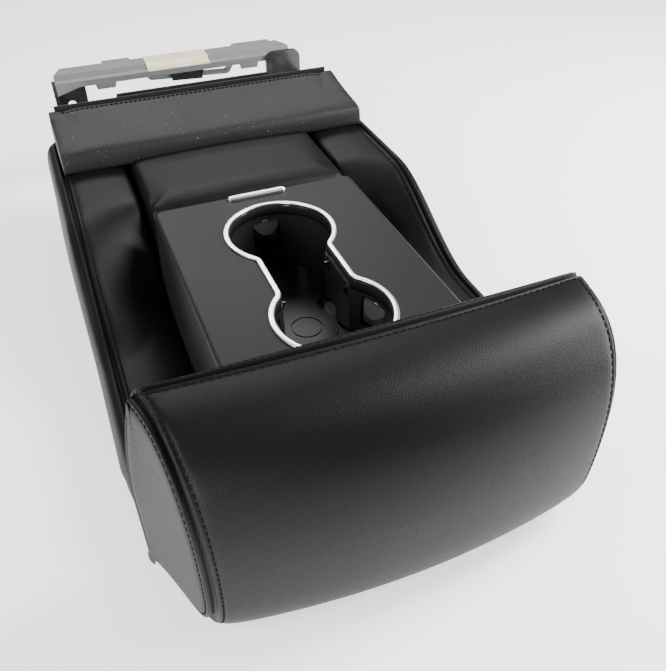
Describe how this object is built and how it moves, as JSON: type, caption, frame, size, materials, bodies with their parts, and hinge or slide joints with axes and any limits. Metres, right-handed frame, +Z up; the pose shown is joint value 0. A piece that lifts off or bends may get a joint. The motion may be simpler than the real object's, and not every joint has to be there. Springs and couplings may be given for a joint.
{
  "type": "rear seat armrest",
  "caption": "Padded folding armrest for a rear seat with a double cup holder, sprung cup grips and a steel hinge bracket that bolts to the seat frame.",
  "frame": {"origin": "on the floor, under the middle of the armrest's box, with the armrest folded down", "axes": "+X across, +Y rearwards to the hinge bracket, +Z up"},
  "size_m": [0.314, 0.639, 0.159],
  "materials": {
    "leather": "black grained leather with a low sheen",
    "vinyl": "dark grey satin vinyl",
    "grey_plastic": "fine grained dark grey plastic",
    "gloss_black": "glossy black plastic",
    "black_plastic": "plain black plastic",
    "rubber": "matte black rubber",
    "bright_trim": "satin bright trim",
    "black_steel": "black painted steel",
    "grey_steel": "plain zinc plated sheet steel",
    "zinc_steel": "zinc plated steel",
    "brass": "plain turned brass",
    "cream_tape": "cream cloth tape"
  },
  "bodies": {
    "bracket": {"hinge_beam": "grey_steel", "foam_tape": "cream_tape", "strap_loop": "zinc_steel", "strap_clip": "black_plastic", "arm_left": "black_steel", "pivot_bolt_left": "zinc_steel", "pivot_washer_left": "zinc_steel", "pivot_nut_left": "zinc_steel", "arm_right": "black_steel", "pivot_bolt_right": "zinc_steel", "pivot_washer_right": "zinc_steel", "pivot_nut_right": "zinc_steel"},
    "button": {"release_button": "bright_trim"},
    "grip_1": {"cup_grip_1": "rubber"},
    "grip_2": {"cup_grip_2": "rubber"},
    "grip_3": {"cup_grip_3": "rubber"},
    "grip_4": {"cup_grip_4": "rubber"},
    "grip_5": {"cup_grip_5": "rubber"},
    "grip_6": {"cup_grip_6": "rubber"},
    "armrest": {"bolster": "leather", "underside_pad": "leather", "wing_left": "leather", "wing_right": "leather", "rear_pad": "leather", "closeout_flap": "vinyl", "flap_strip": "black_plastic", "frame_pan": "black_steel", "cup_bezel": "grey_plastic", "cup_trim_ring": "bright_trim", "cup_bin": "gloss_black", "cup_mat": "rubber", "grip_pins": "zinc_steel", "grip_springs": "zinc_steel", "bin_screws": "zinc_steel", "button_guide": "black_plastic", "button_spring": "zinc_steel", "lug_left": "black_steel", "lug_right": "black_steel", "pivot_bush_left": "brass", "pivot_bush_right": "brass", "stop_pin_left": "zinc_steel", "stop_pin_right": "zinc_steel"}
  },
  "joints": [
    {"name": "fold", "type": "hinge", "parent": "bracket", "child": "armrest", "pos_m": [0, 0.2205, 0.098], "axis": [-1, 0, 0], "range_deg": [0, 95]},
    {"name": "button_press", "type": "slide", "parent": "armrest", "child": "button", "axis": [0, 0, -1], "range_m": [0, 0.0025], "stiffness_N_per_m": 300, "springref_m": -0.002, "deforming": ["button_spring"]},
    {"name": "grip_1_swing", "type": "hinge", "parent": "armrest", "child": "grip_1", "pos_m": [0, -0.0176, 0.1034], "axis": [1, 0, 0], "range_deg": [0, 18], "stiffness_Nm_per_rad": 0.05, "springref_deg": -11.46},
    {"name": "grip_2_swing", "type": "hinge", "parent": "armrest", "child": "grip_2", "pos_m": [0.03984, -0.0745, 0.1034], "axis": [-0.342, -0.9397, 0], "range_deg": [0, 18], "stiffness_Nm_per_rad": 0.05, "springref_deg": -11.46},
    {"name": "grip_3_swing", "type": "hinge", "parent": "armrest", "child": "grip_3", "pos_m": [-0.03984, -0.0745, 0.1034], "axis": [-0.342, 0.9397, 0], "range_deg": [0, 18], "stiffness_Nm_per_rad": 0.05, "springref_deg": -11.46},
    {"name": "grip_4_swing", "type": "hinge", "parent": "armrest", "child": "grip_4", "pos_m": [0, -0.2124, 0.1034], "axis": [-1, 0, 0], "range_deg": [0, 18], "stiffness_Nm_per_rad": 0.05, "springref_deg": -11.46},
    {"name": "grip_5_swing", "type": "hinge", "parent": "armrest", "child": "grip_5", "pos_m": [0.03984, -0.1555, 0.1034], "axis": [0.342, -0.9397, 0], "range_deg": [0, 18], "stiffness_Nm_per_rad": 0.05, "springref_deg": -11.46},
    {"name": "grip_6_swing", "type": "hinge", "parent": "armrest", "child": "grip_6", "pos_m": [-0.03984, -0.1555, 0.1034], "axis": [0.342, 0.9397, 0], "range_deg": [0, 18], "stiffness_Nm_per_rad": 0.05, "springref_deg": -11.46}
  ]
}
